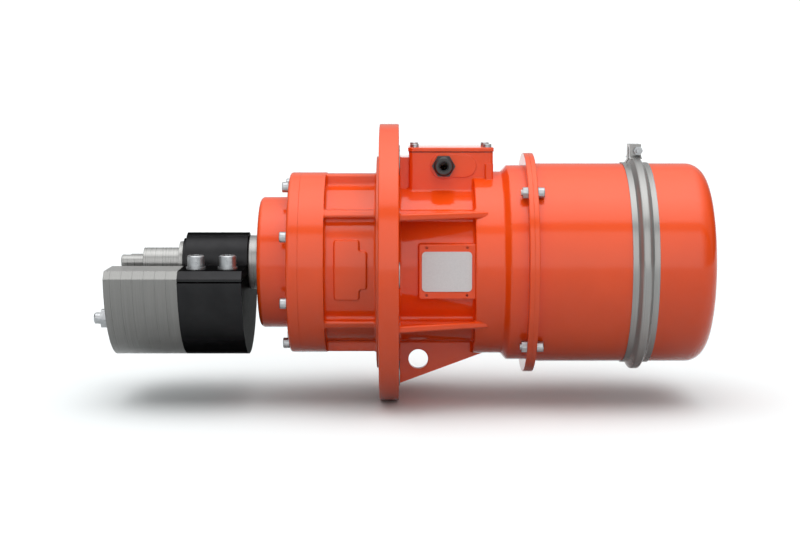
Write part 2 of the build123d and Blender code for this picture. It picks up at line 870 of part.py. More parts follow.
# Clamp weight: half disc with a round hub, slit under a clamping lip on the near side
clamp_screw_places = [
    (weight_left + weight_length / 2 + side * clamp_screw_spacing / 2, -clamp_screw_reach) for side in (-1, 1)
]
stud_places = [
    (side * stud_circle_radius * cos(radians(stud_angle)), -stud_circle_radius * sin(radians(stud_angle)))
    for side in (-1, 1)
]
with BuildPart() as left_clamp_weight:
    with BuildSketch(facing_right(weight_left)) as weight_section:
        Circle(weight_radius)
        with Locations((0, weight_radius)):
            Rectangle(2 * weight_radius, 2 * weight_radius, mode=Mode.SUBTRACT)
        Circle(weight_hub_radius)
        Circle(weight_seat_radius + shaft_fit, mode=Mode.SUBTRACT)
    extrude(amount=weight_length)
    with BuildSketch(facing_left(weight_left)):
        Circle(weight_collar_radius)
        Circle(weight_seat_radius + shaft_fit, mode=Mode.SUBTRACT)
    extrude(amount=weight_collar_length)
    with BuildSketch(facing_right(weight_left)):
        with Locations((0, -clamp_lip - clamp_slit / 2)):
            Rectangle(weight_radius, clamp_slit, align=(Align.MAX, Align.CENTER))
    extrude(amount=weight_length, mode=Mode.SUBTRACT)
    with BuildSketch(Plane.XY):
        with Locations(*clamp_screw_places):
            Circle(clamp_screw_radius + thread_gap)
    extrude(amount=-clamp_screw_length - clamp_screw_tail_room, mode=Mode.SUBTRACT)
    with BuildSketch(Plane.XY):
        with Locations((weight_left + weight_length / 2, 0)):
            Circle(grub_radius + thread_gap)
    extrude(amount=weight_hub_radius, mode=Mode.SUBTRACT)
    with BuildSketch(facing_right(weight_left)):
        with Locations(*stud_places):
            Circle(stud_radius)
    extrude(amount=stud_embed, mode=Mode.SUBTRACT)
write_piece(left_clamp_weight.part, "left_clamp_weight")
write_piece(mirrored(left_clamp_weight.part), "right_clamp_weight")

with BuildPart() as left_clamp_washers:
    with BuildSketch(Plane.XY):
        with Locations(*clamp_screw_places):
            Circle(clamp_screw_head_radius + washer_margin)
            Circle(clamp_screw_radius, mode=Mode.SUBTRACT)
    extrude(amount=clamp_washer_thickness)
write_piece(left_clamp_washers.part, "left_clamp_washers")
write_piece(mirrored(left_clamp_washers.part), "right_clamp_washers")

left_clamp_screws = socket_screws(
    Plane.XY.offset(clamp_washer_thickness),
    clamp_screw_places,
    clamp_screw_radius,
    clamp_screw_length,
    clamp_screw_head_radius,
    clamp_screw_head_height,
    clamp_screw_socket,
)
write_piece(left_clamp_screws, "left_clamp_screws")
write_piece(mirrored(left_clamp_screws), "right_clamp_screws")

with BuildPart() as left_grub_screw:
    with BuildSketch(Plane.XY.offset(weight_seat_radius + axial_gap)):
        with Locations((weight_left + weight_length / 2, 0)):
            Circle(grub_radius)
    extrude(amount=grub_length)
    with BuildSketch(Plane.XY.offset(weight_seat_radius + axial_gap + grub_length)):
        with Locations((weight_left + weight_length / 2, 0)):
            RegularPolygon(grub_radius / 2, 6, major_radius=False)
    extrude(amount=-grub_length / 2, mode=Mode.SUBTRACT)
write_piece(left_grub_screw.part, "left_grub_screw")
write_piece(mirrored(left_grub_screw.part), "right_grub_screw")

# Stack of half-ring plates beside the clamp weight, held by two studs
plate_edges = [weight_left - i * plate_step for i in range(plate_count + 1)]
plate_edges.append(plates_left)
with BuildPart() as left_weight_plates:
    for plate_right, plate_left in zip(plate_edges, plate_edges[1:]):
        with BuildSketch(facing_right(plate_left)):
            Circle(weight_radius)
            Circle(plate_ring_radius, mode=Mode.SUBTRACT)
            with Locations((0, weight_radius)):
                Rectangle(2 * weight_radius, 2 * weight_radius, mode=Mode.SUBTRACT)
            with Locations(*stud_places):
                Circle(stud_radius + thread_gap, mode=Mode.SUBTRACT)
        extrude(amount=plate_right - plate_left - plate_gap)
write_piece(left_weight_plates.part, "left_weight_plates")
write_piece(mirrored(left_weight_plates.part), "right_weight_plates")

with BuildPart() as left_weight_studs:
    with BuildSketch(facing_left(weight_left + stud_embed)):
        with Locations(*[(-y, z) for y, z in stud_places]):
            Circle(stud_radius)
    extrude(amount=stud_embed + weight_left - plates_left + stud_nut_height + stud_tip)
    chamfer(left_weight_studs.edges().group_by(Axis.X)[0], stud_end_chamfer)
write_piece(left_weight_studs.part, "left_weight_studs")
write_piece(mirrored(left_weight_studs.part), "right_weight_studs")

left_weight_nuts = hex_nuts(
    facing_left(plates_left), stud_places, stud_nut_across_flats, stud_nut_height, stud_radius
)
write_piece(left_weight_nuts, "left_weight_nuts")
write_piece(mirrored(left_weight_nuts), "right_weight_nuts")

# Nameplate, glued to its pad
with BuildPart() as nameplate:
    with BuildSketch(Plane.XZ.offset(pad_reach)):
        with Locations((pad_x + pad_width / 2, plate_centre_z)):
            RectangleRounded(plate_width, plate_height, plate_corner)
    extrude(amount=plate_thickness)
write_piece(nameplate.part, "nameplate")

# Terminal box: board, studs with their nuts, earth screw, gasket, lid and lid screws
with BuildPart() as terminal_board:
    with BuildSketch(Plane.XY.offset(box_floor)):
        with Locations((board_x, 0)):
            RectangleRounded(board_length, board_width, board_corner)
    extrude(amount=board_height)
    with BuildSketch(Plane.XY.offset(box_floor + board_height)):
        with Locations((board_x, 0)):
            with GridLocations(terminal_spacing_x, terminal_spacing_y, 3, 2):
                Circle(terminal_radius)
    extrude(amount=-board_height / 2, mode=Mode.SUBTRACT)
write_piece(terminal_board.part, "terminal_board")

with BuildPart() as terminal_studs:
    with BuildSketch(Plane.XY.offset(box_floor + board_height / 2)):
        with Locations((board_x, 0)):
            with GridLocations(terminal_spacing_x, terminal_spacing_y, 3, 2):
                Circle(terminal_radius)
    extrude(amount=board_height / 2 + terminal_height)
write_piece(terminal_studs.part, "terminal_studs")

terminal_places = [
    (board_x + step_x * terminal_spacing_x, step_y * terminal_spacing_y / 2)
    for step_x in (-1, 0, 1)
    for step_y in (-1, 1)
]
terminal_nuts = hex_nuts(
    Plane.XY.offset(box_floor + board_height),
    terminal_places,
    terminal_nut_across_flats,
    terminal_nut_height,
    terminal_radius,
)
write_piece(terminal_nuts, "terminal_nuts")

earth_screw = socket_screws(
    Plane.XY.offset(box_floor),
    [earth_screw_place],
    earth_screw_radius - thread_gap,
    earth_screw_length,
    earth_head_radius,
    earth_head_height,
    earth_screw_socket,
)
write_piece(earth_screw, "earth_screw")

with BuildPart() as lid_gasket:
    with BuildSketch(Plane.XY.offset(box_top)):
        with Locations((box_middle_x, 0)):
            RectangleRounded(box_length, 2 * box_half_width, box_corner)
            Rectangle(box_length - 2 * box_wall, 2 * (box_half_width - box_wall), mode=Mode.SUBTRACT)
        with Locations(*lid_screw_places):
            Circle(lid_boss_radius)
        with Locations(*lid_screw_places):
            Circle(lid_screw_radius, mode=Mode.SUBTRACT)
    extrude(amount=gasket_thickness)
write_piece(lid_gasket.part, "lid_gasket")

lid_bottom = box_top + gasket_thickness
lid_top = lid_bottom + lid_thickness
with BuildPart() as terminal_lid:
    with BuildSketch(Plane.XY.offset(lid_bottom)):
        with Locations((box_middle_x, 0)):
            RectangleRounded(
                box_length + 2 * lid_overhang,
                2 * (box_half_width + lid_overhang),
                box_corner + lid_overhang,
            )
    extrude(amount=lid_thickness)
    fillet(terminal_lid.edges().group_by(Axis.Z)[-1], lid_edge_fillet)
    with BuildSketch(Plane.XY.offset(lid_top)):
        with Locations(*lid_screw_places):
            Circle(lid_screw_radius)
    extrude(amount=-lid_thickness, mode=Mode.SUBTRACT)
write_piece(terminal_lid.part, "terminal_lid")

lid_screws = socket_screws(
    Plane.XY.offset(lid_top),
    lid_screw_places,
    lid_screw_radius,
    lid_screw_length,
    lid_screw_head_radius,
    lid_screw_head_height,
    lid_screw_socket,
)
write_piece(lid_screws, "lid_screws")

# Cable gland: body in the box wall, dome nut and rubber seal with the cable hole
gland_seat = Plane.XZ.offset(gland_pad_height - box_face)
gland_outer_end = gland_hex_height + gland_nut_height
with BuildPart() as gland_body:
    with BuildSketch(gland_seat):
        with Locations((gland_x, gland_z)):
            RegularPolygon(gland_across_flats / 2, 6, major_radius=False)
    extrude(amount=gland_hex_height)
    with BuildSketch(gland_seat):
        with Locations((gland_x, gland_z)):
            Circle(gland_thread_radius)
    extrude(amount=-gland_thread_length)
    with BuildSketch(gland_seat.offset(gland_hex_height)):
        with Locations((gland_x, gland_z)):
            Circle(gland_seal_radius)
    extrude(amount=-gland_hex_height - gland_thread_length, mode=Mode.SUBTRACT)
write_piece(gland_body.part, "gland_body")

with BuildPart() as gland_nut:
    with BuildSketch(gland_seat.offset(gland_hex_height)):
        with Locations((gland_x, gland_z)):
            RegularPolygon(gland_across_flats / 2, 6, major_radius=False)
    extrude(amount=gland_nut_hex_height)
    with BuildSketch(gland_seat.offset(gland_hex_height + gland_nut_hex_height)):
        with Locations((gland_x, gland_z)):
            Circle(gland_across_flats / 2 - gland_nut_shoulder)
    extrude(amount=gland_nut_height - gland_nut_hex_height, taper=gland_nut_taper)
    with BuildSketch(gland_seat.offset(gland_outer_end)):
        with Locations((gland_x, gland_z)):
            Circle(gland_seal_radius)
    extrude(amount=-gland_nut_height, mode=Mode.SUBTRACT)
write_piece(gland_nut.part, "gland_nut")

with BuildPart() as gland_seal:
    with BuildSketch(gland_seat.offset(gland_outer_end - gland_seal_recess)):
        with Locations((gland_x, gland_z)):
            Circle(gland_seal_radius)
            Circle(cable_radius, mode=Mode.SUBTRACT)
    extrude(amount=-(gland_outer_end + gland_thread_length - 2 * gland_seal_recess))
write_piece(gland_seal.part, "gland_seal")

# Weight cover: drum with its bolting flange
with BuildPart() as weight_cover:
    revolve(
        turned(
            [
                (joint_face, cover_opening_radius, 0),
                (joint_face, joint_flange_radius, 0),
                (joint_face + joint_flange_thickness, joint_flange_radius, joint_edge_fillet),
                (joint_face + joint_flange_thickness, cover_radius, 0),
                (cover_end, cover_radius, 0),
                (cover_end, cover_radius - cover_wall, 0),
                (joint_face + joint_flange_thickness, cover_radius - cover_wall, 0),
                (joint_face + joint_flange_thickness, cover_opening_radius, 0),
            ]
        ),
        Axis.X,
    )
    with BuildSketch(facing_right(joint_face)):
        with Locations(*on_circle(cover_screw_circle / 2, cover_screw_count, cover_screw_angle)):
            Circle(screw_radius + thread_gap)
    extrude(amount=joint_flange_thickness, mode=Mode.SUBTRACT)
write_piece(weight_cover.part, "weight_cover")

cover_screw_places = on_circle(cover_screw_circle / 2, cover_screw_count, cover_screw_angle)
cover_screws = socket_screws(
    facing_right(joint_face + joint_flange_thickness),
    cover_screw_places,
    screw_radius,
    2 * joint_flange_thickness + nut_height + cover_screw_tail,
    screw_head_radius,
    screw_head_height,
    screw_socket_width,
)
write_piece(cover_screws, "cover_screws")

cover_nuts = hex_nuts(
    facing_left(joint_face - joint_flange_thickness),
    cover_screw_places,
    nut_across_flats,
    nut_height,
    screw_radius,
)
write_piece(cover_nuts, "cover_nuts")

# End cap with its rolled lip, the seal beside it and the band clamp over both
cap_lip_radius = cover_radius + cap_lip_height
with BuildPart() as end_cap:
    revolve(
        turned(
            [
                (cap_left, cover_radius - cover_wall, 0),
                (cap_left, cap_lip_radius, cap_lip_fillet),
                (cap_left + cap_lip_thickness, cap_lip_radius, cap_lip_fillet),
                (cap_left + cap_lip_thickness, cover_radius, cap_lip_fillet),
                (cap_right, cover_radius, cap_edge_radius),
                (cap_right, 0, 0),
                (cap_right - cover_wall, 0, 0),
                (cap_right - cover_wall, cover_radius - cover_wall, cap_edge_radius - cover_wall),
            ]
        ),
        Axis.X,
    )
write_piece(end_cap.part, "end_cap")

cap_seal = ring(cap_left - cap_seal_width, cap_left, cover_radius + seal_gap, cap_lip_radius - cap_lip_fillet)
write_piece(cap_seal, "cap_seal")

band_inner = cover_radius + seal_gap
band_outer = band_inner + band_sheet
band_left = cap_left - band_width / 2
band_right = cap_left + band_width / 2
bead_foot = band_bead_width / 2
bead_top = band_bead_crown / 2
band_top = band_outer + band_bead_height
ear_face = band_split / 2 + ear_thickness
ear_foot = band_top - ear_root_drop
with BuildPart() as band_clamp:
    revolve(
        turned(
            [
                (band_left, band_inner, 0),
                (band_left, band_outer, 0),
                (cap_left - bead_foot, band_outer, band_foot_fillet),
                (cap_left - bead_top, band_top, band_bead_fillet),
                (cap_left + bead_top, band_top, band_bead_fillet),
                (cap_left + bead_foot, band_outer, band_foot_fillet),
                (band_right, band_outer, 0),
                (band_right, band_inner, 0),
                (cap_left + bead_foot - band_bend, band_inner, band_inner_fillet),
                (cap_left + bead_top - band_bend, band_top - band_sheet, band_bead_fillet - band_sheet),
                (cap_left - bead_top + band_bend, band_top - band_sheet, band_bead_fillet - band_sheet),
                (cap_left - bead_foot + band_bend, band_inner, band_inner_fillet),
            ]
        ),
        Axis.X,
    )
    # Bolt ears beside the split
    with BuildSketch(facing_right(cap_left - ear_width / 2)) as ear_section:
        with BuildLine():
            Polyline(
                (0, ear_foot),
                (0, band_outer + ear_height),
                (ear_face, band_outer + ear_height),
                (ear_face, band_top + ear_shoulder),
                (ear_depth, band_top - ear_tail_drop),
                (ear_depth, ear_foot),
                close=True,
            )
        make_face()
        mirror(about=Plane.YZ)
    extrude(amount=ear_width)
    with BuildSketch(facing_right(band_left)):
        with Locations((0, band_top)):
            Rectangle(band_split, 2 * (band_top - band_inner + hole_allowance))
    extrude(amount=band_width, mode=Mode.SUBTRACT)
    with BuildSketch(Plane.XZ.offset(2 * ear_depth)):
        with Locations((cap_left + ear_bolt_offset, band_outer + ear_bolt_height)):
            Circle(ear_bolt_radius)
    extrude(amount=-4 * ear_depth, mode=Mode.SUBTRACT)
write_piece(band_clamp.part, "band_clamp")

bolt_place = [(cap_left + ear_bolt_offset, band_outer + ear_bolt_height)]
with BuildPart() as band_bolt:
    with BuildSketch(Plane.XZ.offset(ear_face + ear_bolt_margin)):
        with Locations(*bolt_place):
            Circle(ear_bolt_radius)
    extrude(amount=-2 * ear_face - ear_bolt_margin)
    with BuildSketch(Plane.XZ.offset(-ear_face)):
        with Locations(*bolt_place):
            RegularPolygon(ear_nut_across_flats / 2, 6, major_radius=False)
    extrude(amount=-ear_bolt_head_height)
write_piece(band_bolt.part, "band_bolt")

band_nut = hex_nuts(
    Plane.XZ.offset(ear_face), bolt_place, ear_nut_across_flats, ear_nut_height, ear_bolt_radius
)
write_piece(band_nut, "band_nut")
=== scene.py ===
"""Looks of a flange-mounted vibration motor: painted casing, open weights, covered weights, gland.

Metres, X along the shaft, Z up, the viewer at -Y. The origin is the centre of the mounting face.
"""
import json
from math import pi, radians

import bmesh
import bpy
import numpy as np
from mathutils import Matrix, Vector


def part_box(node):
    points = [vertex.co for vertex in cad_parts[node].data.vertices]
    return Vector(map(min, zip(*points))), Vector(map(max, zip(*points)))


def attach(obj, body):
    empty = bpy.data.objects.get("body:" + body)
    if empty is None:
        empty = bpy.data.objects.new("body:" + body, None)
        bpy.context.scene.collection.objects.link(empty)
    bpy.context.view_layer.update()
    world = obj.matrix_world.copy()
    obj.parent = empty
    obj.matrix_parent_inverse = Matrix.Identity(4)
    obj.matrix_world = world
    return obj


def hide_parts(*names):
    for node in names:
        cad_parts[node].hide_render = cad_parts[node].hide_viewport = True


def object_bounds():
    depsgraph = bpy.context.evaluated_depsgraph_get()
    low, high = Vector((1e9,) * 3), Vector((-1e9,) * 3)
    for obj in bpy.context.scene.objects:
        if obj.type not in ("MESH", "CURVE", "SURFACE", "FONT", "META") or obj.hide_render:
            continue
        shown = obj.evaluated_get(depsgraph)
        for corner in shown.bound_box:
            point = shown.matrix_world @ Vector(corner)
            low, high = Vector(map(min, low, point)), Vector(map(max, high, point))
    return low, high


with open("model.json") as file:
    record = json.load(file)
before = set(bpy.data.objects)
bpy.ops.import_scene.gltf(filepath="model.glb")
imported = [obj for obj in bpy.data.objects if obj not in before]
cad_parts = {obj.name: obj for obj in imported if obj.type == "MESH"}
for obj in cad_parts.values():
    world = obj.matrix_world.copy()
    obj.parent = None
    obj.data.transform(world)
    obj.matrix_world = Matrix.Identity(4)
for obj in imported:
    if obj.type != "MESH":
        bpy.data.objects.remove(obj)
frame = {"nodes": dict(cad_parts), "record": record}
cad_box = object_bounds()

MM = 0.001

# The picture: its width and focal length in pixels, the camera's place, its downward tilt in degrees
# and how far it sees
PICTURE_WIDTH = 800
FOCAL_PIXELS = 1649.5
CAMERA_PLACE = (0.0257, -2.083, 0.2187)
CAMERA_TILT = 6.15
VIEW_DEPTH = 200.0

# Studio dome: radiance by direction round the shaft, from the viewer's horizon overhead to the back
DOME_STEPS = [
    (0.0, 1.9), (0.217, 1.9), (0.239, 0.7), (0.278, 0.7), (0.30, 2.3), (0.389, 3.0), (0.472, 3.3),
    (0.556, 2.7), (0.694, 1.3), (0.806, 0.55), (0.917, 0.45), (0.956, 0.45), (0.967, 1.05), (1.0, 1.05),
]
DOME_PEAK = max(level for _, level in DOME_STEPS)

# The dome dims towards both sides, between these sizes of a direction's X, down to a share of the peak
DOME_SIDE_START = 0.15
DOME_SIDE_END = 0.9
DOME_SIDE_SHARE = 0.15

# Floor: its colour where it is seen or mirrored, and where it throws light back at the object
FLOOR_SIZE = 60.0
FLOOR_PALE = (0.79, 0.82, 0.825)
FLOOR_BOUNCE = (0.20, 0.20, 0.20)

# Noise lies mostly between these values, so a colour runs over its full range between them
NOISE_LOW = 0.3
NOISE_HIGH = 0.7

# Rays that a softened edge is averaged from
BEVEL_SAMPLES = 4

# Joining a CAD node's triangles: points closer than this are one, and edges that turn by more than
# this angle in degrees stay sharp
JOIN_DISTANCE = 0.001 * MM
SHARP_ANGLE = 32.0

# Turned faces: how far a normal may lean along the circle, the widest arc in radians and the least
# distance from the axis; then the share of turned area from which a whole fan counts as turned
TURNED_LEAN = 0.02
TURNED_ARC = 0.35
TURNED_RADIUS = 4 * MM
TURNED_SHARE = 0.25

# Shaded normals count as one when they agree to a thousandth
NORMAL_STEPS = 1000

# Least length that a sum of normals is divided by
LEAST_LENGTH = 1e-12

# Half-round weights: the 45-degree cut along both top corners
CORNER_CUT = 9.4 * MM
CUT_NODES = ("left_clamp_weight", "left_weight_plates", "right_clamp_weight", "right_weight_plates")

# Machined faces outside the neck, each from a start to an end along the shaft and touching a plane:
# locating register, mounting face, spot faces of the bolts
BARE_SPANS = [(-3.4 * MM, 0.0, -3.4 * MM), (0.0, 0.0, 0.0), (24.5 * MM, 25.7 * MM, 25.7 * MM)]
BARE_FROM_RADIUS = 100.5 * MM
BARE_TOLERANCE = 0.05 * MM


def node_link(tree, source, output, target, input_name):
    """Join an output of one shader node to an input of another."""
    tree.links.new(source.outputs[output], target.inputs[input_name])


def math_result(tree, operation, *terms):
    """Output of a Math node whose terms are numbers or outputs of other nodes."""
    node = tree.nodes.new("ShaderNodeMath")
    node.operation = operation
    for socket, term in zip(node.inputs, terms):
        if isinstance(term, bpy.types.NodeSocket):
            tree.links.new(term, socket)
        else:
            socket.default_value = term
    return node.outputs[0]


def new_material(name, colour, roughness, metallic=0.0):
    """Material with one Principled shader; returns the material, its tree and the shader."""
    material = bpy.data.materials.new(name)
    material.use_nodes = True
    tree = material.node_tree
    shader = tree.nodes["Principled BSDF"]
    shader.inputs["Base Color"].default_value = (*colour, 1)
    shader.inputs["Roughness"].default_value = roughness
    shader.inputs["Metallic"].default_value = metallic
    return material, tree, shader


def object_noise(tree, scale, detail, stretch=(1, 1, 1)):
    """Noise in Object coordinates, stretched along the axes by the given factors."""
    place = tree.nodes.new("ShaderNodeTexCoord")
    mapping = tree.nodes.new("ShaderNodeMapping")
    mapping.inputs["Scale"].default_value = stretch
    noise = tree.nodes.new("ShaderNodeTexNoise")
    noise.inputs["Scale"].default_value = scale
    noise.inputs["Detail"].default_value = detail
    node_link(tree, place, "Object", mapping, "Vector")
    node_link(tree, mapping, "Vector", noise, "Vector")
    return noise


def vary_colour(tree, shader, noise, dark, light):
    """Base colour that runs between two tones with the noise."""
    ramp = tree.nodes.new("ShaderNodeValToRGB")
    tones = ((NOISE_LOW, dark), (NOISE_HIGH, light))
    for element, (position, tone) in zip(ramp.color_ramp.elements, tones):
        element.position = position
        element.color = (*tone, 1)
    node_link(tree, noise, "Fac", ramp, "Fac")
    node_link(tree, ramp, "Color", shader, "Base Color")


def vary_roughness(tree, shader, noise, low, high):
    """Roughness that runs between two values with the noise."""
    spread = tree.nodes.new("ShaderNodeMapRange")
    spread.inputs["To Min"].default_value = low
    spread.inputs["To Max"].default_value = high
    node_link(tree, noise, "Fac", spread, "Value")
    node_link(tree, spread, "Result", shader, "Roughness")


def add_bump(tree, shader, noise, strength, depth, edge=0.0):
    """Fine relief from the noise, over edges softened by a small bevel where one is given."""
    bump = tree.nodes.new("ShaderNodeBump")
    bump.inputs["Strength"].default_value = strength
    bump.inputs["Distance"].default_value = depth
    node_link(tree, noise, "Fac", bump, "Height")
    if edge > 0:
        bevel = tree.nodes.new("ShaderNodeBevel")
        bevel.samples = BEVEL_SAMPLES
        bevel.inputs["Radius"].default_value = edge
        node_link(tree, bevel, "Normal", bump, "Normal")
    node_link(tree, bump, "Normal", shader, "Normal")


def orange_paint():
    """Semi-gloss orange powder coat with faint orange peel."""
    material, tree, shader = new_material("orange_paint", (0.80, 0.072, 0.006), roughness=0.2)
    clouds = object_noise(tree, scale=9, detail=4)
    wear = object_noise(tree, scale=30, detail=5)
    peel = object_noise(tree, scale=300, detail=2)
    vary_colour(tree, shader, clouds, dark=(0.76, 0.066, 0.005), light=(0.84, 0.078, 0.007))
    vary_roughness(tree, shader, wear, low=0.09, high=0.15)
    add_bump(tree, shader, peel, strength=0.14, depth=0.4 * MM, edge=1.2 * MM)
    shader.inputs["Specular IOR Level"].default_value = 0.42
    return material


def machined_steel():
    """Turned bare steel with fine tool marks round the shaft."""
    material, tree, shader = new_material(
        "machined_steel", (0.29, 0.29, 0.283), roughness=0.3, metallic=0.65
    )
    marks = object_noise(tree, scale=1, detail=4, stretch=(900, 25, 25))
    vary_colour(tree, shader, marks, dark=(0.25, 0.25, 0.243), light=(0.33, 0.33, 0.322))
    vary_roughness(tree, shader, marks, low=0.22, high=0.36)
    add_bump(tree, shader, marks, strength=0.08, depth=0.2 * MM, edge=0.6 * MM)
    return material


def zinc_steel():
    """Bright zinc on screws and nuts."""
    material, tree, shader = new_material("zinc_steel", (0.36, 0.37, 0.38), roughness=0.28, metallic=0.85)
    spots = object_noise(tree, scale=260, detail=3)
    vary_colour(tree, shader, spots, dark=(0.31, 0.32, 0.33), light=(0.42, 0.43, 0.44))
    vary_roughness(tree, shader, spots, low=0.22, high=0.38)
    add_bump(tree, shader, spots, strength=0.05, depth=0.2 * MM, edge=0.5 * MM)
    return material


def black_finish():
    """Satin black oxide on the clamp weights, hardly brighter where it is seen along the surface."""
    material, tree, shader = new_material(
        "black_finish", (0.024, 0.024, 0.025), roughness=0.38, metallic=1.0
    )
    clouds = object_noise(tree, scale=40, detail=4)
    wear = object_noise(tree, scale=120, detail=3)
    grain = object_noise(tree, scale=700, detail=2)
    vary_colour(tree, shader, clouds, dark=(0.021, 0.021, 0.022), light=(0.027, 0.027, 0.028))
    vary_roughness(tree, shader, wear, low=0.34, high=0.44)
    add_bump(tree, shader, grain, strength=0.12, depth=0.3 * MM, edge=0.8 * MM)
    shader.inputs["Specular Tint"].default_value = (0.12, 0.12, 0.12, 1)
    return material


def ground_steel():
    """Weight plates: steel with fine streaks that run round the stack."""
    material, tree, shader = new_material(
        "ground_steel", (0.23, 0.23, 0.222), roughness=0.28, metallic=0.28
    )
    streaks = object_noise(tree, scale=1, detail=5, stretch=(1500, 9, 9))
    vary_colour(tree, shader, streaks, dark=(0.205, 0.205, 0.198), light=(0.255, 0.255, 0.247))
    vary_roughness(tree, shader, streaks, low=0.26, high=0.32)
    add_bump(tree, shader, streaks, strength=0.10, depth=0.2 * MM, edge=0.5 * MM)
    return material


def stainless():
    """Rolled stainless strip of the band clamp."""
    material, tree, shader = new_material("stainless", (0.29, 0.29, 0.282), roughness=0.22, metallic=0.5)
    streaks = object_noise(tree, scale=1, detail=4, stretch=(1100, 10, 10))
    vary_colour(tree, shader, streaks, dark=(0.26, 0.26, 0.253), light=(0.32, 0.32, 0.312))
    vary_roughness(tree, shader, streaks, low=0.18, high=0.28)
    add_bump(tree, shader, streaks, strength=0.06, depth=0.2 * MM, edge=0.5 * MM)
    return material


def rubber():
    """Matte black rubber."""
    material, tree, shader = new_material("rubber", (0.02, 0.02, 0.02), roughness=0.7)
    grain = object_noise(tree, scale=500, detail=3)
    vary_colour(tree, shader, grain, dark=(0.015, 0.015, 0.015), light=(0.028, 0.028, 0.028))
    add_bump(tree, shader, grain, strength=0.15, depth=0.3 * MM)
    return material


def black_plastic():
    """Moulded black nylon of the cable gland."""
    material, tree, shader = new_material("black_plastic", (0.018, 0.018, 0.019), roughness=0.36)
    grain = object_noise(tree, scale=800, detail=2)
    vary_colour(tree, shader, grain, dark=(0.014, 0.014, 0.015), light=(0.024, 0.024, 0.025))
    add_bump(tree, shader, grain, strength=0.12, depth=0.2 * MM, edge=0.6 * MM)
    return material


def copper():
    """Enamelled copper wire."""
    material, tree, shader = new_material("copper", (0.50, 0.16, 0.06), roughness=0.35, metallic=1.0)
    wires = object_noise(tree, scale=400, detail=2)
    vary_colour(tree, shader, wires, dark=(0.40, 0.12, 0.04), light=(0.60, 0.22, 0.09))
    add_bump(tree, shader, wires, strength=0.3, depth=0.6 * MM)
    return material


def moulded_board():
    """Brown moulded resin of the terminal board."""
    material, tree, shader = new_material("moulded_board", (0.10, 0.045, 0.025), roughness=0.45)
    grain = object_noise(tree, scale=350, detail=3)
    vary_colour(tree, shader, grain, dark=(0.08, 0.035, 0.02), light=(0.13, 0.06, 0.035))
    add_bump(tree, shader, grain, strength=0.1, depth=0.3 * MM, edge=0.5 * MM)
    return material


def laminations():
    """Edges of stacked electrical sheet."""
    material, tree, shader = new_material("laminations", (0.25, 0.25, 0.27), roughness=0.4, metallic=1.0)
    sheets = object_noise(tree, scale=1, detail=2, stretch=(1900, 6, 6))
    vary_colour(tree, shader, sheets, dark=(0.18, 0.18, 0.20), light=(0.34, 0.34, 0.36))
    add_bump(tree, shader, sheets, strength=0.3, depth=0.3 * MM)
    return material


def cast_aluminium():
    """Cast end rings of the rotor cage."""
    material, tree, shader = new_material(
        "cast_aluminium", (0.60, 0.60, 0.62), roughness=0.45, metallic=1.0
    )
    grain = object_noise(tree, scale=220, detail=4)
    vary_colour(tree, shader, grain, dark=(0.52, 0.52, 0.54), light=(0.66, 0.66, 0.68))
    add_bump(tree, shader, grain, strength=0.25, depth=0.4 * MM, edge=0.6 * MM)
    return material


def brass():
    """Plain brass of the terminals."""
    material, tree, shader = new_material("brass", (0.72, 0.50, 0.20), roughness=0.3, metallic=1.0)
    grain = object_noise(tree, scale=300, detail=3)
    vary_colour(tree, shader, grain, dark=(0.64, 0.43, 0.16), light=(0.78, 0.56, 0.25))
    add_bump(tree, shader, grain, strength=0.08, depth=0.2 * MM, edge=0.3 * MM)
    return material


def plate_metal():
    """Satin white nameplate blank."""
    material, tree, shader = new_material("plate_metal", (0.62, 0.62, 0.625), roughness=0.4)
    grain = object_noise(tree, scale=600, detail=2)
    vary_colour(tree, shader, grain, dark=(0.60, 0.60, 0.605), light=(0.64, 0.64, 0.645))
    add_bump(tree, shader, grain, strength=0.03, depth=0.2 * MM, edge=0.3 * MM)
    return material


def mesh_values(items, attribute, kind=np.float32, width=1):
    """One attribute of all items of a mesh, as an array with a row for each item."""
    values = np.empty(len(items) * width, kind)
    items.foreach_get(attribute, values)
    return values.reshape(-1, width) if width > 1 else values


def face_corners(mesh):
    """Places of each triangle's three corners, places of the mesh's points and each corner's point."""
    points = mesh_values(mesh.vertices, "co", width=3)
    corner_points = mesh_values(mesh.loops, "vertex_index", np.int32)
    return points[corner_points].reshape(-1, 3, 3), points, corner_points


